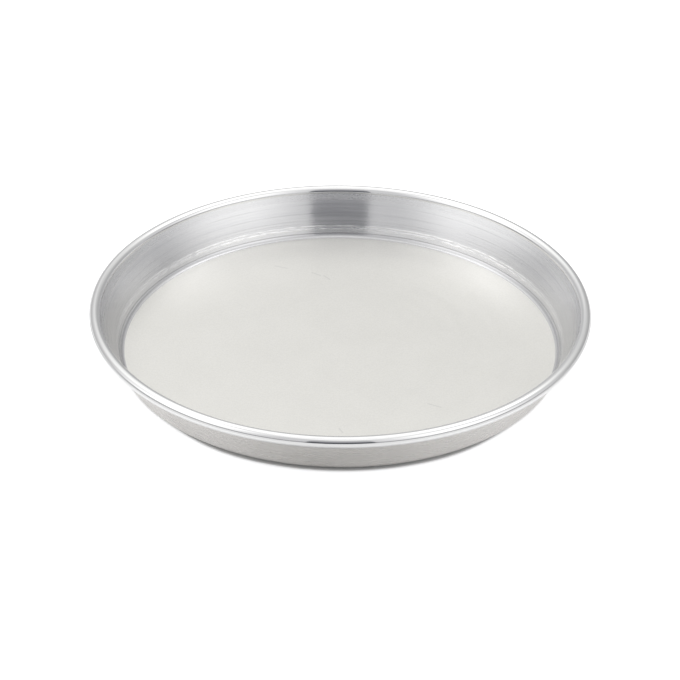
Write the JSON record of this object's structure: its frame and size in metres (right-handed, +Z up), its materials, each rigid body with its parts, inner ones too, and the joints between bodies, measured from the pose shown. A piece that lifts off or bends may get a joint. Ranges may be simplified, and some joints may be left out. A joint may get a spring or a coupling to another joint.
{
  "type": "deep dish pan",
  "caption": "Round tapered baking pan of spun aluminium sheet, with a flat floor, a narrow foot band and a fat rolled rim that holds a steel wire hoop.",
  "frame": {"origin": "middle of the flat underside, on the surface that the pan stands on", "axes": "+Z up, along the pan's own axis, out of its open mouth; +X and +Y in the plane of the floor, with the wire's butt joint at +Y"},
  "size_m": [0.3726, 0.3725, 0.0381],
  "materials": {
    "spun_aluminium": "bare spun aluminium: matt on the floor, burnished with fine turning rings on the wall, bright on the bead",
    "wire_steel": "plain drawn steel wire, hidden in the bead"
  },
  "bodies": {
    "root": {"pan_shell": "spun_aluminium", "rim_wire": "wire_steel"}
  },
  "joints": []
}
